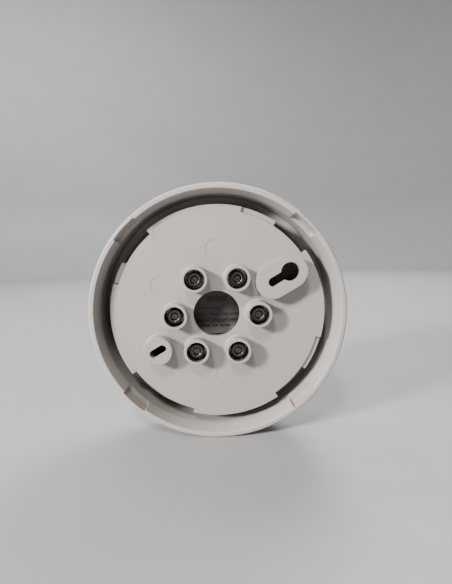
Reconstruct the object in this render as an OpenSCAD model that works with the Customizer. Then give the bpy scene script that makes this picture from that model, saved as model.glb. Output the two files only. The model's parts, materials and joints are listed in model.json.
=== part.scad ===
// Point-type heat detector on its mounting base, standing on its rim.
//
// Every piece is drawn in the detector's own frame: +Z points at the mounting surface,
// Z = 0 is that surface, and the room is at negative Z. on_edge() then turns the piece
// upright, so that the mounting side faces +Y and the room side faces -Y.

/* [Housing] */
// Outside diameter of the housing
body_d = 100; // [99.5:0.5:101]
// Mounting surface to the tip of the sensor cage
body_h = 46; // [45.5:0.5:47]
// Gap between the housing's rim and the mounting surface
rim_gap = 0.3; // [0.2:0.1:0.5]
// Thickness of the skirt below its rim
skirt_t = 3.1; // [3:0.1:3.2]
// Radius of the rim's outer edge
rim_round = 0.9; // [0.6:0.1:1]
// Amount by which the skirt thins towards its rim
rim_taper = 0.9; // [0.7:0.1:1]
// Radius of the spherical dome
dome_r = 80; // [79:1:81]
// Thickness of the dome
dome_t = 2.2; // [2:0.1:2.3]
// Radius between the skirt and the dome
shoulder_r = 5; // [4.5:0.5:5]

/* [Cable knock-outs] */
// Width of each knock-out
knockout_w = 11.3; // [9:0.1:13]
// Depth of each knock-out below the rim
knockout_h = 6.2; // [5:0.1:7]
// Thickness of the skin left outside each knock-out
knockout_skin = 1.4; // [1.2:0.1:1.6]
// Corner radius of each knock-out
knockout_corner = 1.3; // [0.8:0.1:1.6]

/* [Mounting base] */
// Diameter of the base plate
plate_d = 85.3; // [85.1:0.1:85.5]
// Thickness of the base plate
plate_t = 2.2; // [2.1:0.1:2.4]
// Height of the bosses that stand on the mounting surface
boss_h = 5.2; // [5:0.1:5.4]
// Diameter of the central cable entry
cable_d = 18.5; // [16:0.1:18.8]

/* [Terminals] */
// Radius of the ring of terminals
terminal_ring_r = 16.4; // [16.2:0.1:16.6]
// Outside diameter of each terminal boss
boss_d = 10.2; // [10:0.1:10.3]
// Bore of each terminal boss
boss_bore_d = 8; // [7.8:0.1:8]
// Outside diameter of each threaded bush
bush_d = 5.9; // [5.6:0.1:6]
// Depth of each bush's end below the mounting surface
bush_recess = 1.5; // [1:0.1:2]
// Length of each terminal screw under its head
screw_l = 7; // [5.5:0.5:7.5]

/* [Fixings] */
// Angle of the line through the two fixing holes
fixing_angle = 30; // [29:1:31]
// Distance of the fixing slot from the centre
slot_ring_r = 27; // [26.5:0.5:27.5]
// End-to-end length of the fixing slot
slot_l = 7.2; // [6.5:0.1:7.6]
// Width of the fixing slot
slot_w = 3.2; // [3:0.1:3.5]
// Diameter of the boss round the fixing slot
slot_boss_d = 11.4; // [11:0.1:12]
// Distance of the keyhole's narrow end from the centre
keyhole_ring_r = 25; // [24.5:0.5:25.5]
// Distance from the keyhole's narrow end to its entry
keyhole_run = 7.6; // [7.4:0.1:7.8]
// Diameter of the keyhole's entry
keyhole_entry_d = 7.2; // [7:0.1:7.4]
// Width of the keyhole's narrow part
keyhole_neck_w = 3.5; // [3.3:0.1:3.6]
// Width of the boss round the keyhole
keyhole_boss_w = 12.8; // [12.4:0.1:13]

/* [Bayonet] */
// Depth of each notch in the edge of the base plate
notch_depth = 2; // [1.9:0.1:2.1]
// Angle of each notch's open end, where a lug goes in
notch_open_a = 21; // [20.8:0.1:21.2]
// Angle of each notch's ledge, which a lug turns over
ledge_a = 20; // [19.8:0.1:20.2]
// Angle of the shorter ledge that sets the one way round
key_ledge_a = 12.8; // [12.4:0.1:13.2]

/* [Hidden] */
$fn = 96;
TERMINALS = 6;
SENSOR_RIBS = 12;

shell_colour = [0.88, 0.86, 0.83];
plate_colour = [0.85, 0.83, 0.80];
metal_colour = [0.66, 0.66, 0.64];
board_colour = [0.10, 0.36, 0.20];
dark_colour = [0.12, 0.12, 0.13];
label_colour = [0.60, 0.60, 0.60];
lens_colour = [0.90, 0.30, 0.25];

// A cut that opens a face runs this far past it
over = 1;
// Gap that lets a moving piece pass a fixed one
slide_gap = 0.25;
// Gap between pieces that only rest against each other
touch_gap = 0.05;

// Levels, from the mounting surface down into the room
plate_z = -boss_h;
plate_room_z = plate_z - plate_t;
wire_space = 6.3;
carrier_z = plate_room_z - wire_space;
carrier_t = 2;
carrier_room_z = carrier_z - carrier_t;
board_gap = 2;
board_z = carrier_room_z - board_gap;
board_t = 1.6;
board_room_z = board_z - board_t;

// Housing
body_r = body_d / 2;
skirt_inner_r = body_r - skirt_t;
dome_tip = 35.5;
dome_centre_z = dome_r - dome_tip;
shoulder_axis_r = body_r - shoulder_r;
shoulder_z = dome_centre_z - sqrt(pow(dome_r - shoulder_r, 2) - pow(shoulder_axis_r, 2));
dome_edge_r = shoulder_axis_r * dome_r / (dome_r - shoulder_r);
dome_inner_r = dome_r - dome_t;
rim_taper_h = 6;
rim_edge = 0.2;
rim_inner_r = skirt_inner_r + rim_taper;
knockout_angle = 45;

// Base plate
plate_r = plate_d / 2;
boss_edge = 0.25;
boss_foot = 0.5;
stiffener_r = plate_r - notch_depth - 0.5;
stiffener_t = 1.2;
stiffener_h = 3;
core_wall = 1.6;
core_roof = 2.2;
core_r = keyhole_boss_w / 2 - core_wall;
mark_r = 3.8;
mark_depth = 0.12;
mark_places = [[0, 25.7], [-22.2, 11.8], [-20.2, 32.6], [3, -25.2]];

// Bayonet
key_notch = 1;
notch_first_a = 34.5;
key_notch_shift = 3.6;
notch_r = plate_r - notch_depth;
ledge_t = 0.6;
ledge_r = notch_r + 0.9;
lug_stem_r = ledge_r + 0.3;
lug_end_gap_a = 0.6;
lug_z = plate_z - 0.85;
lug_hook_t = 0.6;
lug_notches = [0, 1, 3];

// Terminals
bush_r = bush_d / 2;
bush_bore_r = 1.5;
bush_chamfer = 0.4;
strip_t = 0.8;
strip_w = 8;
strip_inner_r = 12.2;
strip_outer_r = 22;
strip_hole_r = 1.6;
leaf_w = 4;
leaf_start_r = 25.5;
leaf_end_r = 29.5;
leaf_drop = 3.5;
strip_z = plate_room_z;
strip_room_z = strip_z - strip_t;
rail_t = 1;
rail_h = 2.6;
rail_l = 8;
washer_w = 7;
washer_t = 0.9;
washer_hole_r = 1.65;
washer_z = strip_room_z - touch_gap;
screw_r = 1.45;
screw_tip = 0.4;
screw_head_r = 2.8;
screw_head_h = 2.1;
screw_head_z = washer_z - washer_t - touch_gap;
cross_l = 3.2;
cross_w = 0.8;
cross_depth = 1.2;

// Rear carrier and contact blades
carrier_r = plate_r + 0.6;
label_r = 19;
label_t = 0.15;
blade_top_z = strip_z - leaf_drop - strip_t - 0.1;
blade_t = 0.6;
blade_w = 4;
blade_inner_r = 25;
blade_outer_r = 30;
blade_leg_w = 3;
blade_slot_gap = 0.1;
carrier_screw_ring_r = 38.6;
carrier_screw_a = [90, 210, 330];
carrier_screw_r = 1.3;
carrier_screw_l = 6;
carrier_head_r = 2.6;
carrier_head_h = 1.8;
pilot_r = 1.35;
post_r = 3;

// Circuit board and what is on it
board_r = 31;
board_screw_ring_r = 22;
board_screw_a = [0, 120, 240];
board_screw_r = 0.85;
board_screw_l = 4.4;
board_head_r = 1.9;
board_head_h = 1.4;
standoff_r = 2.4;
led_ring_r = 29;
led_a = [90, 270];
led_size = [3, 2.8, 1.3];
pipe_r = 1.5;
pipe_flange_r = 2.2;
pipe_flange_t = 0.8;
pipe_proud = 0.5;
capacitor_r = 3.15;
capacitor_h = 5.8;
capacitor_place = [12, 19];

// Sensor cage and thermistor
cage_arc_r = 12;
cage_rib_depth = 2.2;
cage_rib_t = 1.7;
cage_axis_r = 7;
cage_root_z = cage_arc_r - body_h;
cage_collar_r = cage_axis_r + cage_arc_r + 0.2;
cage_collar_t = 1.6;
cage_floor_r = 22.3;
cage_floor_t = 1.5;
cage_floor_z = -28.3;
cage_hoop_r = 0.9;
dome_hole_r = cage_collar_r + 0.1;
holder_r = 3;
holder_tip_r = 2.1;
holder_bore_r = 1.1;
holder_tip_z = -37.5;
bead_r = 1.3;
bead_z = holder_tip_z - 2.2;
lead_r = 0.25;
lead_offset = 0.6;

function numbered(name) = [for (i = [1:TERMINALS]) str(name, "_", i)];
function terminal_a(i) = (i - 1) * 360 / TERMINALS;
function ledge_angle(k) = k == key_notch ? key_ledge_a : ledge_a;
function notch_a(k) = notch_first_a + 90 * k + (k == key_notch ? key_notch_shift : 0);

// Turns a piece from the detector's own frame to the frame of the whole part
module on_edge() {
    rotate([90, 0, 180]) children();
}

// Places children at a radius and an angle round the detector's axis
module polar(r, a) {
    rotate([0, 0, a]) translate([r, 0, 0]) children();
}

// Block of a ring between two radii, two angles and two heights
module sector(r_in, r_out, a_from, a_to, z_from, z_to) {
    rotate([0, 0, a_from])
        rotate_extrude(angle = a_to - a_from)
            translate([r_in, z_from])
                square([r_out - r_in, z_to - z_from]);
}

// Extrudes an outline drawn in radius and height, centred across its width
module radial_plate(w) {
    rotate([90, 0, 0]) linear_extrude(w, center = true) children();
}

// Upright cylinder between two heights
module post(r, z_from, z_to) {
    translate([0, 0, z_from]) cylinder(r = r, h = z_to - z_from);
}

// Boss that stands on the base plate, with a flared foot and a chamfered end
module round_boss(r) {
    post(r, plate_room_z, -boss_edge);
    translate([0, 0, -boss_edge]) cylinder(r1 = r, r2 = r - boss_edge, h = boss_edge);
    translate([0, 0, plate_z]) cylinder(r1 = r + boss_foot, r2 = r, h = boss_foot);
}

// Outline with round ends whose centres lie at X = 0 and X = length
module stadium(length, r) {
    circle(r);
    translate([length, 0]) circle(r);
    translate([0, -r]) square([length, 2 * r]);
}

// Extrudes an outline between two heights
module slab(z_from, z_to) {
    translate([0, 0, z_from]) linear_extrude(z_to - z_from) children();
}

module keyhole_boss() {
    polar(keyhole_ring_r, fixing_angle)
        slab(plate_room_z, 0) stadium(keyhole_run, keyhole_boss_w / 2);
}

module keyhole_cut() {
    polar(keyhole_ring_r, fixing_angle) {
        slab(-core_roof - over, over) {
            stadium(keyhole_run, keyhole_neck_w / 2);
            translate([keyhole_run, 0]) circle(d = keyhole_entry_d);
        }
        slab(plate_room_z - over, -core_roof) stadium(keyhole_run, core_r);
    }
}

module fixing_slot_cut() {
    slot_run = slot_l - slot_w;
    polar(slot_ring_r, fixing_angle + 180) {
        slab(-core_roof - over, over) translate([-slot_run / 2, 0]) stadium(slot_run, slot_w / 2);
        post(slot_boss_d / 2 - core_wall, plate_room_z - over, -core_roof);
    }
}

// One bayonet notch: an open end, then a ledge that the lug hooks over
module notch_cut(k) {
    a = notch_a(k);
    a_ledge = a + notch_open_a;
    a_end = a_ledge + ledge_angle(k);
    sector(notch_r, plate_r + over, a, a_ledge, plate_room_z - over, plate_z + over);
    sector(notch_r, plate_r + over, a, a_end, plate_room_z + ledge_t, plate_z + over);
    sector(ledge_r, plate_r + over, a, a_end, plate_room_z - over, plate_z + over);
}

// Rails on the room side that hold a contact strip and keep its washer square
module strip_rails() {
    for (side = [-1, 1]) {
        translate([-rail_l / 2, side * (strip_w + rail_t + touch_gap) / 2 - rail_t / 2, plate_room_z - rail_h])
            cube([rail_l, rail_t, rail_h + over]);
    }
}

module base_plate() {
    color(plate_colour) on_edge() difference() {
        union() {
            post(plate_r, plate_room_z, plate_z);
            for (i = [1:TERMINALS]) polar(terminal_ring_r, terminal_a(i)) round_boss(boss_d / 2);
            polar(slot_ring_r, fixing_angle + 180) round_boss(slot_boss_d / 2);
            keyhole_boss();
            difference() {
                post(stiffener_r, plate_room_z - stiffener_h, plate_z - over);
                post(stiffener_r - stiffener_t, plate_room_z - stiffener_h - over, plate_z);
            }
            for (i = [1:TERMINALS]) polar(terminal_ring_r, terminal_a(i)) strip_rails();
        }
        post(cable_d / 2, plate_room_z - over, plate_z + over);
        for (i = [1:TERMINALS]) {
            polar(terminal_ring_r, terminal_a(i)) post(boss_bore_d / 2, plate_room_z - over, over);
        }
        keyhole_cut();
        fixing_slot_cut();
        for (k = [0:3]) notch_cut(k);
        for (p = mark_places) {
            translate([p[0], p[1], plate_z - mark_depth]) cylinder(r = mark_r, h = over);
        }
    }
}

// Plated strip under each terminal, with a leaf that presses on the head's blade
module contact_strip(i) {
    color(metal_colour) on_edge() rotate([0, 0, terminal_a(i)]) {
        difference() {
            translate([strip_inner_r, -strip_w / 2, strip_room_z])
                cube([strip_outer_r - strip_inner_r, strip_w, strip_t]);
            translate([terminal_ring_r, 0, strip_room_z - over])
                cylinder(r = strip_hole_r, h = strip_t + 2 * over);
        }
        radial_plate(leaf_w)
            polygon([
                [strip_outer_r - 0.5, strip_z],
                [strip_outer_r - 0.5, strip_room_z],
                [strip_outer_r, strip_room_z],
                [leaf_start_r, strip_room_z - leaf_drop],
                [leaf_end_r, strip_room_z - leaf_drop],
                [leaf_end_r + 1, strip_room_z - leaf_drop + 1.2],
                [leaf_end_r + 1 - strip_t, strip_z - leaf_drop + 0.9],
                [leaf_end_r - 0.4, strip_z - leaf_drop],
                [leaf_start_r + 0.3, strip_z - leaf_drop],
                [strip_outer_r + 0.3, strip_z]
            ]);
    }
}

// Turned bush that rises inside the terminal boss and takes the screw's thread
module terminal_bush(i) {
    color(metal_colour) on_edge() polar(terminal_ring_r, terminal_a(i))
        rotate_extrude()
            polygon([
                [bush_bore_r, strip_z],
                [bush_r, strip_z],
                [bush_r, -bush_recess - bush_chamfer],
                [bush_r - bush_chamfer, -bush_recess],
                [bush_bore_r + bush_chamfer, -bush_recess],
                [bush_bore_r, -bush_recess - bush_chamfer]
            ]);
}

// Square washer that clamps the field wire against the strip
module clamp_washer(i) {
    color(metal_colour) on_edge() polar(terminal_ring_r, terminal_a(i)) difference() {
        translate([-washer_w / 2, -washer_w / 2, washer_z - washer_t])
            cube([washer_w, washer_w, washer_t]);
        post(washer_hole_r, washer_z - washer_t - over, washer_z + over);
    }
}

// Pan-head terminal screw; its tip shows inside the bush from behind
module terminal_screw(i) {
    tip_z = screw_head_z + screw_l;
    color(metal_colour) on_edge() polar(terminal_ring_r, terminal_a(i)) difference() {
        union() {
            post(screw_head_r, screw_head_z - screw_head_h, screw_head_z);
            post(screw_r, screw_head_z, tip_z - screw_tip);
            translate([0, 0, tip_z - screw_tip])
                cylinder(r1 = screw_r, r2 = screw_r - screw_tip, h = screw_tip);
        }
        for (a = [0, 90]) {
            rotate([0, 0, a])
                translate([-cross_l / 2, -cross_w / 2, screw_head_z - screw_head_h - over])
                    cube([cross_l, cross_w, cross_depth + over]);
        }
    }
}

// Outside outline of the housing, from the axis to the skirt
module housing_outline() {
    translate([0, shoulder_z]) square([body_r, -rim_gap - rim_round - shoulder_z]);
    translate([0, shoulder_z]) square([body_r - rim_round, -rim_gap - shoulder_z]);
    translate([body_r - rim_round, -rim_gap - rim_round]) circle(rim_round);
    translate([shoulder_axis_r, shoulder_z]) circle(shoulder_r);
    intersection() {
        translate([0, dome_centre_z]) circle(dome_r, $fn = 720);
        translate([0, -dome_r]) square([dome_edge_r, dome_r + shoulder_z]);
    }
}

// Inside outline of the housing, open at the rim
module housing_hollow() {
    translate([-over, shoulder_z]) square([skirt_inner_r + over, -shoulder_z + over]);
    polygon([
        [0, -rim_gap - rim_taper_h],
        [skirt_inner_r, -rim_gap - rim_taper_h],
        [rim_inner_r, -rim_gap - rim_edge],
        [rim_inner_r + rim_edge, -rim_gap],
        [rim_inner_r + rim_edge, over],
        [0, over]
    ]);
    intersection() {
        translate([0, dome_centre_z]) circle(dome_inner_r, $fn = 720);
        translate([-over, -dome_r]) square([skirt_inner_r + over, dome_r + shoulder_z]);
    }
}

// One cable knock-out, cut from inside so that a thin skin is left outside
module knockout_cut() {
    low_z = -rim_gap - knockout_h;
    rotate([90, 0, 90])
        linear_extrude(body_r) {
            translate([-knockout_w / 2, low_z + knockout_corner])
                square([knockout_w, knockout_h - knockout_corner + over]);
            translate([knockout_corner - knockout_w / 2, low_z])
                square([knockout_w - 2 * knockout_corner, knockout_h]);
            for (side = [-1, 1]) {
                translate([side * (knockout_w / 2 - knockout_corner), low_z + knockout_corner])
                    circle(knockout_corner);
            }
        }
}

// Post inside the dome that a carrier screw bites into
module screw_post() {
    difference() {
        translate([0, 0, dome_centre_z - dome_inner_r + over])
            cylinder(r = post_r, h = carrier_room_z - (dome_centre_z - dome_inner_r + over));
        post(pilot_r, carrier_z - carrier_screw_l - 0.5, carrier_room_z + over);
    }
}

module housing() {
    color(shell_colour) on_edge() difference() {
        union() {
            rotate_extrude() difference() {
                intersection() {
                    housing_outline();
                    translate([0, -dome_r]) square([body_r, dome_r]);
                }
                housing_hollow();
                translate([-over, -dome_r]) square([dome_hole_r + over, dome_r]);
            }
            intersection() {
                for (a = carrier_screw_a) polar(carrier_screw_ring_r, a) screw_post();
                rotate_extrude() intersection() {
                    housing_outline();
                    translate([0, -dome_r]) square([body_r, dome_r]);
                }
            }
        }
        intersection() {
            for (k = [0:3]) rotate([0, 0, knockout_angle + 90 * k]) knockout_cut();
            post(body_r - knockout_skin, -rim_gap - knockout_h - over, over);
        }
        for (a = led_a) polar(led_ring_r, a) post(pipe_r + 0.05, -dome_tip, board_room_z);
    }
}

// Quarter-ring outline of one cage rib
module cage_rib_outline() {
    intersection() {
        difference() {
            translate([cage_axis_r, cage_root_z]) circle(cage_arc_r);
            translate([cage_axis_r, cage_root_z]) circle(cage_arc_r - cage_rib_depth);
        }
        translate([cage_axis_r - over, -body_h]) square([cage_arc_r + over, cage_arc_r]);
    }
}

// Open cage round the thermistor, on a cup that closes the hole in the dome
module sensor_cage() {
    hoop_arc_r = cage_arc_r - cage_rib_depth / 2;
    color(shell_colour) on_edge() {
        difference() {
            union() {
                post(cage_floor_r, cage_floor_z - cage_floor_t, cage_floor_z);
                post(cage_collar_r, cage_root_z - 0.5, cage_floor_z - 0.5);
            }
            post(cage_collar_r - cage_collar_t, cage_root_z - over, cage_floor_z - cage_floor_t);
            post(holder_r + 0.1, cage_root_z - over, cage_floor_z + over);
        }
        for (k = [0:SENSOR_RIBS - 1]) {
            rotate([0, 0, (k + 0.5) * 360 / SENSOR_RIBS]) radial_plate(cage_rib_t) cage_rib_outline();
        }
        post(cage_axis_r + 0.6, -body_h, cage_rib_depth - body_h);
        rotate_extrude()
            translate([cage_axis_r + hoop_arc_r * cos(45), cage_root_z - hoop_arc_r * sin(45)])
                circle(cage_hoop_r);
    }
}

// Upright lug on the carrier, hooked over a ledge of the base plate
module bayonet_lug(k) {
    a_from = notch_a(k) + notch_open_a + lug_end_gap_a;
    a_to = notch_a(k) + notch_open_a + ledge_angle(k) - lug_end_gap_a;
    sector(lug_stem_r, plate_r, a_from, a_to, carrier_room_z, lug_z);
    sector(notch_r + slide_gap, plate_r, a_from, a_to, lug_z - lug_hook_t, lug_z);
}

// Rear moulding of the head: it carries the lugs, the blades and the circuit board
module rear_carrier() {
    color(plate_colour) on_edge() difference() {
        union() {
            post(carrier_r, carrier_room_z, carrier_z);
            for (k = lug_notches) bayonet_lug(k);
            for (a = board_screw_a) polar(board_screw_ring_r, a) post(standoff_r, board_z, carrier_z);
        }
        for (a = carrier_screw_a) {
            polar(carrier_screw_ring_r, a) post(pilot_r, carrier_room_z - over, carrier_z + over);
        }
        for (a = board_screw_a) {
            polar(board_screw_ring_r, a) post(board_screw_r, board_z - over, board_room_z + board_screw_l + 0.3);
        }
        for (i = [1:TERMINALS]) {
            rotate([0, 0, terminal_a(i)])
                translate([
                    blade_outer_r - blade_t - blade_slot_gap,
                    -blade_leg_w / 2 - blade_slot_gap,
                    carrier_room_z - over
                ])
                    cube([
                        blade_t + 2 * blade_slot_gap,
                        blade_leg_w + 2 * blade_slot_gap,
                        carrier_t + 2 * over
                    ]);
        }
    }
}

module rating_label() {
    color(label_colour) on_edge() post(label_r, carrier_z, carrier_z + label_t);
}

// Pan-head screws that hold the carrier in the housing
module carrier_screws() {
    color(metal_colour) on_edge() for (a = carrier_screw_a) {
        polar(carrier_screw_ring_r, a) difference() {
            union() {
                post(carrier_screw_r, carrier_z - carrier_screw_l, carrier_z);
                post(carrier_head_r, carrier_z, carrier_z + carrier_head_h);
            }
            for (turn = [0, 90]) {
                rotate([0, 0, turn])
                    translate([-cross_l / 2, -cross_w / 2, carrier_z + carrier_head_h - cross_depth])
                        cube([cross_l, cross_w, cross_depth + over]);
            }
        }
    }
}

// Blade on the head that meets the leaf of one contact strip
module contact_blade(i) {
    color(metal_colour) on_edge() rotate([0, 0, terminal_a(i)]) {
        translate([blade_inner_r, -blade_w / 2, blade_top_z - blade_t])
            cube([blade_outer_r - blade_inner_r, blade_w, blade_t]);
        translate([blade_outer_r - blade_t, -blade_leg_w / 2, board_z])
            cube([blade_t, blade_leg_w, blade_top_z - board_z]);
    }
}

module circuit_board() {
    color(board_colour) on_edge() difference() {
        post(board_r, board_room_z, board_z);
        for (a = board_screw_a) {
            polar(board_screw_ring_r, a) post(board_screw_r + 0.1, board_room_z - over, board_z + over);
        }
        for (side = [-1, 1]) {
            translate([side * lead_offset, 0, 0]) post(lead_r + 0.05, board_room_z - over, board_z + over);
        }
    }
}

module board_screws() {
    color(metal_colour) on_edge() for (a = board_screw_a) {
        polar(board_screw_ring_r, a) {
            post(board_screw_r - 0.02, board_room_z, board_room_z + board_screw_l);
            difference() {
                post(board_head_r, board_room_z - board_head_h, board_room_z);
                translate([-cross_l / 2, -cross_w / 2, board_room_z - board_head_h - over])
                    cube([cross_l, cross_w, board_head_h / 2 + over]);
            }
        }
    }
}

// Controller chip: a body with seven pins on each side
module microcontroller() {
    body = [9.9, 3.9, 1.5];
    pins = 7;
    pitch = 1.27;
    pin_w = 0.4;
    pin_reach = 1.05;
    color(dark_colour) on_edge() translate([-12, -9, board_room_z]) {
        translate([-body[0] / 2, -body[1] / 2, -body[2] - 0.1]) cube(body);
        for (k = [0:pins - 1]) {
            translate([(k - (pins - 1) / 2) * pitch - pin_w / 2, -body[1] / 2 - pin_reach, -0.3])
                cube([pin_w, body[1] + 2 * pin_reach, 0.3]);
        }
    }
}

module storage_capacitor() {
    base_w = 6.6;
    base_h = 0.8;
    color(metal_colour) on_edge() translate([capacitor_place[0], capacitor_place[1], board_room_z]) {
        translate([-base_w / 2, -base_w / 2, -base_h]) cube([base_w, base_w, base_h]);
        translate([0, 0, -capacitor_h]) cylinder(r = capacitor_r, h = capacitor_h - base_h / 2);
    }
}

// Small surface-mounted parts in two rows
module board_components() {
    chip = [3.2, 1.6, 0.9];
    rows = [-18, -14.5];
    columns = 4;
    pitch = 4.6;
    color(dark_colour) on_edge() for (y = rows) {
        for (k = [0:columns - 1]) {
            translate([(k - (columns - 1) / 2) * pitch - chip[0] / 2, y, board_room_z - chip[2]])
                cube(chip);
        }
    }
}

// Tube that carries the thermistor's leads out into the cage
module thermistor_holder() {
    color(shell_colour) on_edge() difference() {
        union() {
            post(holder_r, cage_floor_z - cage_floor_t, board_room_z);
            translate([0, 0, holder_tip_z])
                cylinder(r1 = holder_tip_r, r2 = holder_r, h = cage_floor_z - cage_floor_t - holder_tip_z);
        }
        post(holder_bore_r, holder_tip_z - over, board_room_z + over);
    }
}

module sensing_thermistor() {
    color(dark_colour) on_edge() {
        translate([0, 0, bead_z]) sphere(bead_r);
        for (side = [-1, 1]) translate([side * lead_offset, 0, 0]) post(lead_r, bead_z, board_z);
    }
}

// Second thermistor, inside the housing, which follows slow changes only
module reference_thermistor() {
    place = [16, -13];
    stand = 4;
    color(dark_colour) on_edge() translate([place[0], place[1], board_room_z]) {
        translate([0, 0, -stand]) sphere(bead_r);
        for (side = [-1, 1]) translate([side * lead_offset, 0, 0]) post(lead_r, -stand, 0);
    }
}

module status_led(k) {
    color(lens_colour) on_edge() polar(led_ring_r, led_a[k - 1])
        translate([-led_size[0] / 2, -led_size[1] / 2, board_room_z - led_size[2]])
            cube(led_size);
}

// Clear pipe that brings an LED's light out through the dome
module light_pipe(k) {
    back_z = board_room_z - led_size[2] - 0.1;
    face_z = dome_centre_z - sqrt(pow(dome_r, 2) - pow(led_ring_r, 2)) - pipe_proud;
    color(lens_colour) on_edge() polar(led_ring_r, led_a[k - 1]) {
        post(pipe_r, face_z + pipe_proud, back_z);
        post(pipe_flange_r, back_z - pipe_flange_t, back_z);
        translate([0, 0, face_z]) cylinder(r1 = pipe_r - pipe_proud, r2 = pipe_r, h = pipe_proud);
    }
}

base_plate();
for (i = [1:TERMINALS]) {
    contact_strip(i);
    terminal_bush(i);
    clamp_washer(i);
    terminal_screw(i);
    contact_blade(i);
}
housing();
sensor_cage();
rear_carrier();
rating_label();
carrier_screws();
circuit_board();
board_screws();
microcontroller();
storage_capacitor();
board_components();
thermistor_holder();
sensing_thermistor();
reference_thermistor();
for (k = [1, 2]) {
    status_led(k);
    light_pipe(k);
}
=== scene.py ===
import json
import math
import bmesh
import bpy
import numpy as np
from mathutils import Matrix, Vector


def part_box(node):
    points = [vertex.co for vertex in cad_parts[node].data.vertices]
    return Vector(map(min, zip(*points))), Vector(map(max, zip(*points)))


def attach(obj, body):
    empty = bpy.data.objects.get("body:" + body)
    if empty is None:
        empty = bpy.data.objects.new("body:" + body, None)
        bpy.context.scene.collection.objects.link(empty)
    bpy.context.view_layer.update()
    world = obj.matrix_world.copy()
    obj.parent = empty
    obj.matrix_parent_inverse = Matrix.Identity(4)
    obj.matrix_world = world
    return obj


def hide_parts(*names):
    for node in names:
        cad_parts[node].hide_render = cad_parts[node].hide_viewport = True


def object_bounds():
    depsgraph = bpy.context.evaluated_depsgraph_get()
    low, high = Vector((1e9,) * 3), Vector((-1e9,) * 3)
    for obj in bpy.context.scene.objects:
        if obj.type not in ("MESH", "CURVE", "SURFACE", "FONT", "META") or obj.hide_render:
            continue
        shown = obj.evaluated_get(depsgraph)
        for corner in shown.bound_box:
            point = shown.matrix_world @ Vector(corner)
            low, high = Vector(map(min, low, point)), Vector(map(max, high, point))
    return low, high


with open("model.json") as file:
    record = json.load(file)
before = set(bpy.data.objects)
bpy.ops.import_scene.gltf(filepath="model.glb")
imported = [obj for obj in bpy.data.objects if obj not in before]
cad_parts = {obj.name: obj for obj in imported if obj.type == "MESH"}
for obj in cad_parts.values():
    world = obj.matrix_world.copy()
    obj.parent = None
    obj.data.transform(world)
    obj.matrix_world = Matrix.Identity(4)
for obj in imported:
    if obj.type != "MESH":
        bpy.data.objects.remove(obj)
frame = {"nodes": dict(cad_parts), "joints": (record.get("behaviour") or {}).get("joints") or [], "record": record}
cad_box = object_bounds()
MM = 0.001

# The terminals, read from the frame in millimetres. Each screw's hinge lies on its terminal's
# axis, level with the underside of the screw's head.
AXES = [Vector(joint["pos_m"]) / MM for joint in frame["joints"] if joint["name"].startswith("screw_")]
BUSH_LOW, BUSH_HIGH = (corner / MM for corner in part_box("terminal_bush_1"))
SCREW_LOW, SCREW_HIGH = (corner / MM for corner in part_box("terminal_screw_1"))


# ---------------------------------------------------------------- materials

def scaled(colour, amount):
    return tuple(channel * amount for channel in colour)


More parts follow.
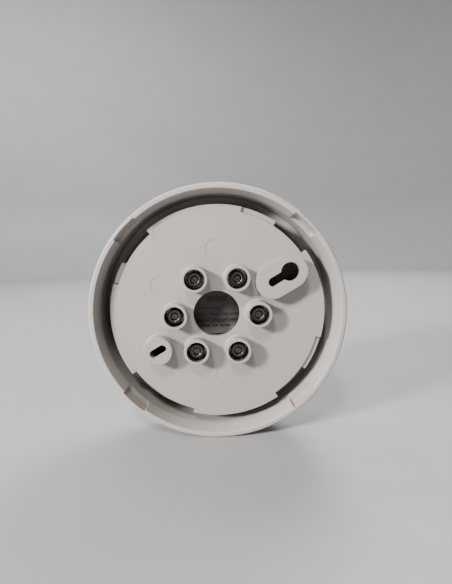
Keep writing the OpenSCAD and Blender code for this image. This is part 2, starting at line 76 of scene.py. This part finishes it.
class Nodes:
    """Short names for building one material's node tree."""

    def __init__(self, name):
        self.material = bpy.data.materials.new(name)
        self.material.use_nodes = True
        self.tree = self.material.node_tree
        self.tree.nodes.clear()
        self.shader = self.add("ShaderNodeBsdfPrincipled")
        output = self.add("ShaderNodeOutputMaterial")
        self.link(self.shader.outputs["BSDF"], output.inputs["Surface"])
        self.coords = self.add("ShaderNodeTexCoord").outputs["Object"]

    def add(self, kind, **settings):
        node = self.tree.nodes.new(kind)
        for key, value in settings.items():
            setattr(node, key, value)
        return node

    def link(self, source, target):
        self.tree.links.new(source, target)

    def set(self, **values):
        for key, value in values.items():
            self.shader.inputs[key.replace("_", " ")].default_value = value

    def place(self):
        """The surface point's X, Y and Z."""
        node = self.add("ShaderNodeSeparateXYZ")
        self.link(self.coords, node.inputs["Vector"])
        return node.outputs["X"], node.outputs["Y"], node.outputs["Z"]

    def stretched(self, scale):
        mapping = self.add("ShaderNodeMapping")
        mapping.inputs["Scale"].default_value = scale
        self.link(self.coords, mapping.inputs["Vector"])
        return mapping.outputs["Vector"]

    def radius(self, x=0.0, z=0.0):
        """Distance from the line through (x, z) that runs along Y."""
        node = self.add("ShaderNodeVectorMath", operation="DISTANCE")
        self.link(self.stretched((1.0, 0.0, 1.0)), node.inputs[0])
        node.inputs[1].default_value = (x, 0.0, z)
        return node.outputs["Value"]

    def noise(self, scale, detail=2.0, vector=None):
        node = self.add("ShaderNodeTexNoise")
        node.inputs["Scale"].default_value = scale
        node.inputs["Detail"].default_value = detail
        self.link(vector or self.coords, node.inputs["Vector"])
        return node.outputs["Fac"]

    def spots(self, scale, radius, softness):
        """1 on small round spots, 0 between them."""
        node = self.add("ShaderNodeTexVoronoi")
        node.inputs["Scale"].default_value = scale
        self.link(self.coords, node.inputs["Vector"])
        return self.remap(node.outputs["Distance"], radius, radius + softness, 1.0, 0.0)

    def remap(self, value, low, high, to_low=0.0, to_high=1.0):
        node = self.add("ShaderNodeMapRange", clamp=True)
        for key, number in zip(("From Min", "From Max", "To Min", "To Max"), (low, high, to_low, to_high)):
            node.inputs[key].default_value = number
        self.link(value, node.inputs["Value"])
        return node.outputs["Result"]

    def patches(self, scale, detail, low, high, to_low=0.0, to_high=1.0):
        """Noise with its contrast raised, so that it makes soft-edged patches."""
        return self.remap(self.noise(scale, detail), low, high, to_low, to_high)

    def math(self, operation, a, b=0.0):
        node = self.add("ShaderNodeMath", operation=operation)
        for socket, value in zip(node.inputs, (a, b)):
            if isinstance(value, (int, float)):
                socket.default_value = value
            else:
                self.link(value, socket)
        return node.outputs["Value"]

    def mix(self, factor, a, b):
        node = self.add("ShaderNodeMix", data_type="RGBA")
        self.link(factor, node.inputs["Factor"])
        for socket, value in ((node.inputs["A"], a), (node.inputs["B"], b)):
            if isinstance(value, tuple):
                socket.default_value = (*value, 1.0)
            else:
                self.link(value, socket)
        return node.outputs["Result"]

    def colour(self, value):
        self.link(value, self.shader.inputs["Base Color"])

    def roughness(self, value):
        self.link(value, self.shader.inputs["Roughness"])

    def bump(self, height, distance, strength=1.0, before=None):
        """Bump of the given height in metres, on top of the one before it."""
        node = self.add("ShaderNodeBump")
        node.inputs["Strength"].default_value = strength
        node.inputs["Distance"].default_value = distance
        self.link(height, node.inputs["Height"])
        if before is not None:
            self.link(before, node.inputs["Normal"])
        self.link(node.outputs["Normal"], self.shader.inputs["Normal"])
        return node.outputs["Normal"]


# Painted shade fills the terminal bores, which are 8 mm across, from just below their ends down
BORE_SHADE_R = 4.02
BORE_SHADE_FADE = 0.06
BORE_SHADE_Y = (-0.9, -0.2)
# Painted shade also darkens the faces deeper than these heights along Y, in millimetres
CORE_SHADE_Y = (-13.0, -11.5)
DUST = (0.20, 0.18, 0.16)
PLASTIC_SCATTER = (0.0012, 0.0009, 0.0006)
PLASTIC_WAVE = 0.00006


def paint_shade(n, tone, painted_shade_colour):
    """Painted shade: darkens the base's terminal bores and its deepest faces, where shade falls."""
    _, height, _ = n.place()
    nearest = 1.0
    for axis in AXES:
        nearest = n.math("MINIMUM", n.radius(axis.x * MM, axis.z * MM), nearest)
    in_bore = n.remap(nearest, BORE_SHADE_R * MM, (BORE_SHADE_R + BORE_SHADE_FADE) * MM, 1.0, 0.0)
    below_end = n.remap(height, BORE_SHADE_Y[0] * MM, BORE_SHADE_Y[1] * MM, 1.0, 0.0)
    deep = n.remap(height, CORE_SHADE_Y[0] * MM, CORE_SHADE_Y[1] * MM, 1.0, 0.0)
    return n.mix(n.math("MAXIMUM", deep, n.math("MULTIPLY", in_bore, below_end)), tone, painted_shade_colour)


def moulded_plastic(name, colour, gloss, texture_depth, painted_shade_colour=None):
    """Off-white ABS: fine moulded texture, faint tone changes, a few dust specks, and painted shade where a shade
    colour is given.
    """
    n = Nodes(name)
    n.set(IOR=1.5, Subsurface_Weight=0.12, Subsurface_Scale=1.0)
    n.shader.inputs["Subsurface Radius"].default_value = PLASTIC_SCATTER
    warmer = (colour[0] * 0.995, colour[1] * 0.97, colour[2] * 0.93)
    tone = n.mix(n.patches(26.0, 3.0, 0.35, 0.65), colour, scaled(colour, 0.955))
    tone = n.mix(n.patches(9.0, 2.0, 0.45, 0.75, to_high=0.6), tone, warmer)
    dusty = n.patches(40.0, 1.0, 0.56, 0.6)
    speck = n.math("MULTIPLY", n.spots(scale=140.0, radius=0.03, softness=0.02), dusty)
    # painted shade in the terminal bores and on the deepest faces
    if painted_shade_colour:
        tone = paint_shade(n, tone, painted_shade_colour)
    n.colour(n.mix(speck, tone, DUST))
    n.roughness(n.patches(70.0, 3.0, 0.3, 0.7, gloss - 0.05, gloss + 0.06))
    fine = n.bump(n.noise(5200.0), texture_depth, strength=0.55)
    n.bump(n.noise(160.0), PLASTIC_WAVE, strength=0.35, before=fine)
    return n.material


def plated_metal(name, colour, gloss, streak_scale):
    """Plated metal with fine drawing lines and small stains."""
    n = Nodes(name)
    n.set(Metallic=1.0)
    streaks = n.noise(1.0, vector=n.stretched(streak_scale))
    stain = n.patches(900.0, 4.0, 0.42, 0.68)
    n.colour(n.mix(stain, colour, scaled(colour, 0.66)))
    n.roughness(n.remap(n.math("ADD", streaks, stain), 0.5, 1.5, gloss - 0.08, gloss + 0.16))
    n.bump(streaks, 0.00001, strength=0.6)
    return n.material


def turned_metal(name, colour, gloss, shade_from_r):
    """Turned metal: tool rings round the piece's own axis, dark stains and a film of oil.

    It keeps its own colour inside shade_from_r millimetres, and further out it is darkened with painted shade,
    next to the dark gap round it.
    """
    n = Nodes(name)
    n.set(Metallic=1.0, Coat_Weight=0.6, Coat_Roughness=0.14)
    radius = n.radius()
    rings = n.add("ShaderNodeCombineXYZ")
    n.link(radius, rings.inputs["X"])
    tool_marks = n.noise(9000.0, 1.0, vector=rings.outputs["Vector"])
    stain = n.patches(700.0, 3.0, 0.4, 0.7)
    worn = n.mix(stain, colour, scaled(colour, 0.6))
    # painted shade on the outer edge, outside shade_from_r
    painted_rim_shade = n.remap(radius, (shade_from_r - 0.1) * MM, (shade_from_r + 0.25) * MM)
    n.colour(n.mix(painted_rim_shade, worn, scaled(colour, 0.22)))
    n.roughness(n.remap(n.math("ADD", tool_marks, stain), 0.4, 1.5, gloss - 0.05, gloss + 0.14))
    n.bump(tool_marks, 0.000012, strength=0.7)
    return n.material


# The label's print, in millimetres: each row has the height of its middle, its thickness, and
# the middle and width of each block in it.
LABEL_ROWS = (
    (5.0, 2.4, ((-0.3, 8.4),)),
    (1.0, 0.6, ((5.2, 4.0), (0.3, 3.8))),
    (-1.7, 0.9, ((6.4, 2.9), (1.3, 3.8), (-3.1, 3.6), (-7.6, 4.2))),
    (-4.1, 0.9, ((5.7, 4.3), (0.2, 3.5), (-3.4, 2.4), (-6.9, 3.6))),
    (-6.5, 0.9, ((4.9, 4.0), (0.8, 2.4), (-3.4, 4.5), (-8.6, 1.8))),
    (-10.2, 0.5, ((0.0, 15.0),)),
)
# Heights in millimetres over which the label's painted shade fades out downwards, then the label's colours
LABEL_SHADE_EDGE = (-9.0, -5.0)
LABEL_FOIL = (0.34, 0.335, 0.31)
LABEL_PAINTED_SHADE = (0.068, 0.058, 0.053)
LABEL_PAINTED_SHADE_PATCHY = (0.052, 0.045, 0.042)
LABEL_INK = (0.014, 0.011, 0.010)
PRINT_EDGE = 0.06


def printed_label(name):
    """Foil label whose print is only blocks and a rule, with no lettering, and painted shade over its upper part.
    """
    n = Nodes(name)
    n.set(IOR=1.45, Metallic=0.3)
    across, _, up = n.place()

    def within(value, middle, width):
        off = n.math("ABSOLUTE", n.math("SUBTRACT", value, middle * MM))
        return n.remap(off, width / 2 * MM, (width / 2 + PRINT_EDGE) * MM, 1.0, 0.0)

    ink = 0.0
    for height, thickness, blocks in LABEL_ROWS:
        line = 0.0
        for middle, width in blocks:
            line = n.math("MAXIMUM", within(across, middle, width), line)
        ink = n.math("MAXIMUM", n.math("MULTIPLY", line, within(up, height, thickness)), ink)
    # the print is thin in places; the upper part of the label is darkened with painted shade, and the foil below
    # it keeps its own colour
    ink = n.math("MULTIPLY", ink, n.patches(1900.0, 2.0, 0.35, 0.6, to_low=0.35))
    shaded_top = n.mix(n.patches(420.0, 3.0, 0.35, 0.7), LABEL_PAINTED_SHADE, LABEL_PAINTED_SHADE_PATCHY)
    shade_mask = n.remap(up, LABEL_SHADE_EDGE[0] * MM, LABEL_SHADE_EDGE[1] * MM)
    n.colour(n.mix(ink, n.mix(shade_mask, LABEL_FOIL, shaded_top), LABEL_INK))
    n.roughness(n.patches(600.0, 2.0, 0.3, 0.7, 0.30, 0.44))
    n.bump(n.noise(900.0), 0.00002, strength=0.4)
    return n.material


def circuit_board_material(name):
    """Green solder mask over copper tracks, with the tracks standing slightly proud."""
    n = Nodes(name)
    n.set(IOR=1.5, Coat_Weight=0.4, Coat_Roughness=0.12)
    tracks = n.add("ShaderNodeTexBrick")
    tracks.inputs["Scale"].default_value = 260.0
    tracks.inputs["Mortar Size"].default_value = 0.035
    n.link(n.coords, tracks.inputs["Vector"])
    line = n.remap(tracks.outputs["Fac"], 0.4, 0.6)
    mask = n.mix(n.patches(300.0, 3.0, 0.35, 0.7), (0.018, 0.13, 0.055), (0.014, 0.105, 0.045))
    n.colour(n.mix(line, mask, (0.035, 0.22, 0.09)))
    n.roughness(n.patches(800.0, 2.0, 0.3, 0.7, 0.28, 0.42))
    n.bump(line, 0.00004, strength=0.7)
    return n.material


def moulded_epoxy(name):
    """Black component bodies with a fine matt grain."""
    n = Nodes(name)
    n.set(IOR=1.5)
    n.colour(n.mix(n.patches(700.0, 3.0, 0.3, 0.7), (0.018, 0.018, 0.02), (0.035, 0.034, 0.034)))
    n.roughness(n.patches(1500.0, 2.0, 0.3, 0.7, 0.45, 0.65))
    n.bump(n.noise(6000.0), 0.00002, strength=0.6)
    return n.material


def tinted_lens(name, colour, clearness):
    """Clear or cloudy tinted plastic with a smooth, slightly wavy skin."""
    n = Nodes(name)
    n.set(IOR=1.49, Transmission_Weight=clearness, Coat_Weight=0.3, Coat_Roughness=0.05)
    n.colour(n.mix(n.patches(500.0, 2.0, 0.35, 0.7), colour, scaled(colour, 0.8)))
    n.roughness(n.patches(900.0, 2.0, 0.3, 0.7, 0.08, 0.18))
    n.bump(n.noise(1200.0), 0.00001, strength=0.4)
    return n.material


def studio_paper(name, colour):
    """Pale seamless paper."""
    n = Nodes(name)
    n.set(IOR=1.45)
    n.colour(n.mix(n.patches(14.0, 3.0, 0.35, 0.7), colour, scaled(colour, 0.97)))
    n.roughness(n.patches(90.0, 3.0, 0.3, 0.7, 0.5, 0.62))
    n.bump(n.noise(1800.0), 0.00003, strength=0.3)
    return n.material


SHELL_COLOUR = (0.42, 0.393, 0.370)
BASE_COLOUR = (0.367, 0.340, 0.320)
HOLDER_COLOUR = (0.46, 0.44, 0.41)
# colour of the base's painted shade
BASE_PAINTED_SHADE = (0.075, 0.066, 0.060)
STRIP_STREAKS = (400.0, 400.0, 4000.0)
CAN_STREAKS = (300.0, 5000.0, 300.0)
MATERIALS = {
    "shell": moulded_plastic("shell", SHELL_COLOUR, 0.42, 0.000012),
    "base_moulding": moulded_plastic("base_moulding", BASE_COLOUR, 0.46, 0.000014, painted_shade_colour=BASE_PAINTED_SHADE),
    "holder_moulding": moulded_plastic("holder_moulding", HOLDER_COLOUR, 0.45, 0.000012),
    "plated_strip": plated_metal("plated_strip", (0.42, 0.405, 0.37), 0.34, STRIP_STREAKS),
    "bush_metal": turned_metal("bush_metal", (0.095, 0.090, 0.080), 0.30, shade_from_r=2.3),
    "zinc_steel": turned_metal("zinc_steel", (0.088, 0.085, 0.080), 0.28, shade_from_r=2.9),
    "label": printed_label("label"),
    "board": circuit_board_material("board"),
    "dark_component": moulded_epoxy("dark_component"),
    "capacitor_can": plated_metal("capacitor_can", (0.70, 0.71, 0.72), 0.25, CAN_STREAKS),
    "thermistor_glass": tinted_lens("thermistor_glass", (0.10, 0.028, 0.018), clearness=0.15),
    "led_body": tinted_lens("led_body", (0.80, 0.74, 0.55), clearness=0.1),
    "light_pipe": tinted_lens("light_pipe", (0.62, 0.10, 0.07), clearness=0.55),
}


def dress(mesh, slot):
    mesh.materials.clear()
    mesh.materials.append(MATERIALS[slot])


for row in frame["record"]["subparts"]:
    dress(frame["nodes"][row["node"]].data, row["material_slot"])


# ---------------------------------------------------------------- finished terminals
# Turned pieces are drawn as rows of (radius, height along Y), in millimetres.

TURN_STEPS = 72
SHARP_ANGLE = 38
THREAD_PITCH = 0.5
ROWS_PER_PITCH = 8
# A thread's flanks rise by THREAD_SLOPE for each pitch, and are cut off flat at crest and root
THREAD_SLOPE = 3.2
THREAD_PEAK = 1.25

BUSH_END = BUSH_HIGH.y
BUSH_R = (BUSH_HIGH.x - BUSH_LOW.x) / 2
BUSH_CORNER_R = 0.35
BUSH_BORE_R = 1.5
BUSH_THREAD_ROOT_R = 1.62
COUNTERSINK_R = 0.45
BUSH_GROOVE_R = 2.28
BUSH_GROOVE = ((0.08, 0.0), (0.04, 0.05), (-0.04, 0.05), (-0.08, 0.0))

SCREW_TIP = SCREW_HIGH.y
SCREW_SEAT = AXES[0].y
TIP_R = 1.22
TIP_EDGE = 0.05
TIP_BEVEL_R = 1.4
TIP_BEVEL_H = 0.38
TIP_STEP = 0.03
DIMPLE_R = 0.3
DIMPLE_EDGE = 0.06
SCREW_CREST_R = 1.45
SCREW_ROOT_R = 1.2
THREAD_START = 0.04
THREAD_RUNOUT = 0.5
NECK_R = 1.3
NECK_H = 0.3
NECK_FLARE = 0.05
HEAD_R = 2.8
HEAD_EDGE = 0.18
HEAD_ROUND = 0.9
CENTRE_R = 0.04
RECESS = (3.2, 1.4, 0.8)
RECESS_MIDDLE = 0.5
SPIN = 47  # degrees between the angles at which neighbouring terminals have stopped


def thread_rows(low, high, crest, root):
    """Rows of a thread: a third value makes a row's radius change as it goes round."""
    step = THREAD_PITCH / ROWS_PER_PITCH
    return [(crest, root, low + k * step) for k in range(int((high - low) / step) + 1)]


def quarter(count):
    return np.linspace(0, math.pi / 2, count)


def row_radius(row, angle):
    """Radius of a row at an angle, which for a thread row follows a flat-topped helix."""
    if len(row) == 2:
        return row[0]
    crest, root, height = row
    phase = (height / THREAD_PITCH - angle / (2 * math.pi)) % 1.0
    rise = min(1.0, max(0.0, THREAD_PEAK - abs(phase - 0.5) * THREAD_SLOPE))
    return root + (crest - root) * rise


def turned(name, rows, close):
    """Surface of revolution about Y. Where close is true, the last row joins the first."""
    mesh = bmesh.new()
    angles = [2 * math.pi * step / TURN_STEPS for step in range(TURN_STEPS)]
    rings = []
    for row in rows:
        radii = [row_radius(row, a) * MM for a in angles]
        points = [(r * math.cos(a), row[-1] * MM, r * math.sin(a)) for r, a in zip(radii, angles)]
        rings.append([mesh.verts.new(point) for point in points])
    pairs = list(zip(rings, rings[1:])) + ([(rings[-1], rings[0])] if close else [])
    for low, high in pairs:
        for k in range(TURN_STEPS):
            n = (k + 1) % TURN_STEPS
            mesh.faces.new((low[k], high[k], high[n], low[n]))
    if not close:
        mesh.faces.new(rings[0])
        mesh.faces.new(list(reversed(rings[-1])))
    bmesh.ops.recalc_face_normals(mesh, faces=mesh.faces)
    data = bpy.data.meshes.new(name)
    mesh.to_mesh(data)
    mesh.free()
    return data


def smooth_by_angle(data):
    """Smooth shading, with the edges sharper than SHARP_ANGLE left sharp."""
    data.shade_smooth()
    mesh = bmesh.new()
    mesh.from_mesh(data)
    for edge in mesh.edges:
        if len(edge.link_faces) == 2:
            edge.smooth = edge.calc_face_angle(0.0) < math.radians(SHARP_ANGLE)
    mesh.to_mesh(data)
    mesh.free()


def bush_mesh():
    """Threaded bush: turned end face with a soft outer corner and a countersunk bore."""
    corner = [(BUSH_R - BUSH_CORNER_R * (1 - math.cos(t)), BUSH_END - BUSH_CORNER_R * (1 - math.sin(t)))
              for t in quarter(8)]
    groove = [(BUSH_GROOVE_R + out, BUSH_END - depth) for out, depth in BUSH_GROOVE]
    mouth = [(BUSH_BORE_R + COUNTERSINK_R * (1 - math.sin(t)), BUSH_END - COUNTERSINK_R * (1 - math.cos(t)))
             for t in quarter(9)]
    thread = thread_rows(BUSH_LOW.y, BUSH_END - THREAD_RUNOUT, BUSH_BORE_R, BUSH_THREAD_ROOT_R)
    rows = [(BUSH_R, BUSH_LOW.y)] + corner + groove + mouth + list(reversed(thread))
    data = turned("terminal_bush", rows, close=True)
    smooth_by_angle(data)
    return data


def cut_cross(data, low):
    """Mesh of the screw with a cross recess cut into the face of its head."""
    blank = bpy.data.objects.new("screw_blank", data)
    bpy.context.scene.collection.objects.link(blank)
    cutters = []
    for turn in (0, 90):
        bpy.ops.mesh.primitive_cube_add(size=1.0, location=(0, (low + RECESS_MIDDLE) * MM, 0))
        cutter = bpy.context.object
        cutter.scale = Vector(RECESS) * MM
        cutter.rotation_euler = (0, math.radians(turn), 0)
        cut = blank.modifiers.new("cross", "BOOLEAN")
        cut.operation = "DIFFERENCE"
        cut.solver = "EXACT"
        cut.object = cutter
        cutters.append(cutter)
    bpy.context.view_layer.update()
    shaped = bpy.data.meshes.new_from_object(blank.evaluated_get(bpy.context.evaluated_depsgraph_get()))
    for leftover in [blank] + cutters:
        bpy.data.objects.remove(leftover)
    shaped.name = "terminal_screw"
    return shaped


def screw_mesh():
    """Terminal screw: flat tip with a turned edge, rolled thread, pan head with a cross recess."""
    low = SCREW_LOW.y
    tip = [(CENTRE_R, SCREW_TIP - TIP_STEP), (DIMPLE_R, SCREW_TIP - TIP_STEP)]
    tip += [(DIMPLE_R + DIMPLE_EDGE, SCREW_TIP), (TIP_R, SCREW_TIP)]
    tip += [(TIP_R + TIP_EDGE, SCREW_TIP - TIP_STEP), (TIP_BEVEL_R, SCREW_TIP - TIP_BEVEL_H)]
    thread_end = SCREW_TIP - TIP_BEVEL_H - THREAD_START
    thread = thread_rows(SCREW_SEAT + THREAD_RUNOUT, thread_end, SCREW_CREST_R, SCREW_ROOT_R)
    head = [(NECK_R, SCREW_SEAT + NECK_H), (NECK_R + NECK_FLARE, SCREW_SEAT)]
    head += [(HEAD_R - HEAD_EDGE, SCREW_SEAT), (HEAD_R, SCREW_SEAT - HEAD_EDGE)]
    head += [(HEAD_R - HEAD_ROUND * (1 - math.cos(t)), low + HEAD_ROUND * (1 - math.sin(t)))
             for t in quarter(9)]
    head.append((CENTRE_R, low))
    data = turned("terminal_screw", tip + list(reversed(thread)) + head, close=False)
    shaped = cut_cross(data, low)
    smooth_by_angle(shaped)
    return shaped


def terminals(kind, mesh, slot, body):
    """Puts a finished piece at each terminal, in place of its plain CAD node."""
    dress(mesh, slot)
    for i, axis in enumerate(AXES, start=1):
        piece = bpy.data.objects.new(f"finished_{kind}_{i}", mesh)
        piece.location = Vector((axis.x, 0, axis.z)) * MM
        piece.rotation_euler = (0, math.radians(SPIN * i), 0)
        bpy.context.scene.collection.objects.link(piece)
        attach(piece, body.format(i))
        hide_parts(f"terminal_{kind}_{i}")


terminals("bush", bush_mesh(), "bush_metal", "base")
terminals("screw", screw_mesh(), "zinc_steel", "screw_{}")


# ---------------------------------------------------------------- stage, light and camera

FLOOR_Z = cad_box[0].z
FLOOR_R = 1.1
FLOOR_RINGS = (0.3, 0.7, FLOOR_R)
CURVE_R = 0.3
CURVE_STEPS = 24
WALL_TOP = 1.6
BOWL_STEPS = 128
PAPER_COLOUR = (0.34, 0.337, 0.34)
WORLD_COLOUR = (0.94, 0.95, 1.0, 1.0)
WORLD_STRENGTH = 0.015


def bowl():
    """Pale floor that curves up into a round wall on every side."""
    curve = [math.radians(90 * step / CURVE_STEPS) for step in range(1, CURVE_STEPS + 1)]
    outline = [(r, 0.0) for r in FLOOR_RINGS]
    outline += [(FLOOR_R + CURVE_R * math.sin(a), CURVE_R * (1 - math.cos(a))) for a in curve]
    outline.append((FLOOR_R + CURVE_R, WALL_TOP))
    mesh = bmesh.new()
    centre = mesh.verts.new((0, 0, FLOOR_Z))
    turns = [2 * math.pi * step / BOWL_STEPS for step in range(BOWL_STEPS)]
    rings = [[mesh.verts.new((r * math.cos(a), r * math.sin(a), FLOOR_Z + z)) for a in turns]
             for r, z in outline]
    for k in range(BOWL_STEPS):
        n = (k + 1) % BOWL_STEPS
        mesh.faces.new((centre, rings[0][k], rings[0][n]))
        for low, high in zip(rings, rings[1:]):
            mesh.faces.new((low[k], high[k], high[n], low[n]))
    data = bpy.data.meshes.new("bowl")
    mesh.to_mesh(data)
    mesh.free()
    data.shade_smooth()
    data.materials.append(studio_paper("studio_paper", PAPER_COLOUR))
    piece = bpy.data.objects.new("bowl", data)
    bpy.context.scene.collection.objects.link(piece)


def aimed(piece, place, aim, roll=0.0):
    """Puts a lamp or camera at a place, looking at its aim, and adds it to the scene."""
    look = (Vector(aim) - Vector(place)).to_track_quat("-Z", "Y").to_matrix().to_4x4()
    piece.location = place
    piece.rotation_mode = "QUATERNION"
    piece.rotation_quaternion = (look @ Matrix.Rotation(roll, 4, "Z")).to_quaternion()
    bpy.context.scene.collection.objects.link(piece)


def area_light(name, place, aim, size, watts, colour):
    lamp = bpy.data.lights.new(name, "AREA")
    lamp.shape = "SQUARE"
    lamp.size = size
    lamp.energy = watts
    lamp.color = colour
    aimed(bpy.data.objects.new(name, lamp), place, aim)


def lights():
    """Two keys that cast the bosses' double shadows, two soft lights for the room side and wall."""
    area_light("key_left", (0.648, 0.468, 0.315), (0, 0, 0), 0.12, 16.5, (1.0, 0.965, 0.98))
    area_light("key_top", (0.187, 0.54, 0.695), (0, 0, 0), 0.14, 5.8, (1.0, 0.985, 0.93))
    area_light("front_soft", (-0.35, -0.72, 0.80), (0, -0.02, 0), 0.55, 14.0, (0.98, 0.99, 1.0))
    area_light("wall_wash", (0.35, -0.45, 1.0), (0.45, -1.4, 0.1), 0.5, 12.0, (0.98, 0.985, 1.0))
    world = bpy.data.worlds.new("studio")
    world.use_nodes = True
    background = world.node_tree.nodes["Background"]
    background.inputs["Color"].default_value = WORLD_COLOUR
    background.inputs["Strength"].default_value = WORLD_STRENGTH
    bpy.context.scene.world = world


# Places in millimetres and the roll in degrees
CAMERA_PLACE = (0.35, 128.42, 24.7)
CAMERA_AIM = (3.18, 0.0, 7.54)
CAMERA_ROLL = -1.752
SENSOR_W = 36.0
LENS = 20.96
SHIFT_X = 0.031
SHIFT_Y = 0.0086
NEAREST = 0.005


def camera():
    """Close behind the detector and a little above its axis, as a hand-held phone would be."""
    data = bpy.data.cameras.new("camera")
    data.sensor_width = SENSOR_W
    data.lens = LENS
    data.shift_x = SHIFT_X
    data.shift_y = SHIFT_Y
    data.clip_start = NEAREST
    piece = bpy.data.objects.new("camera", data)
    aimed(piece, Vector(CAMERA_PLACE) * MM, Vector(CAMERA_AIM) * MM, math.radians(CAMERA_ROLL))
    bpy.context.scene.camera = piece


bowl()
lights()
camera()
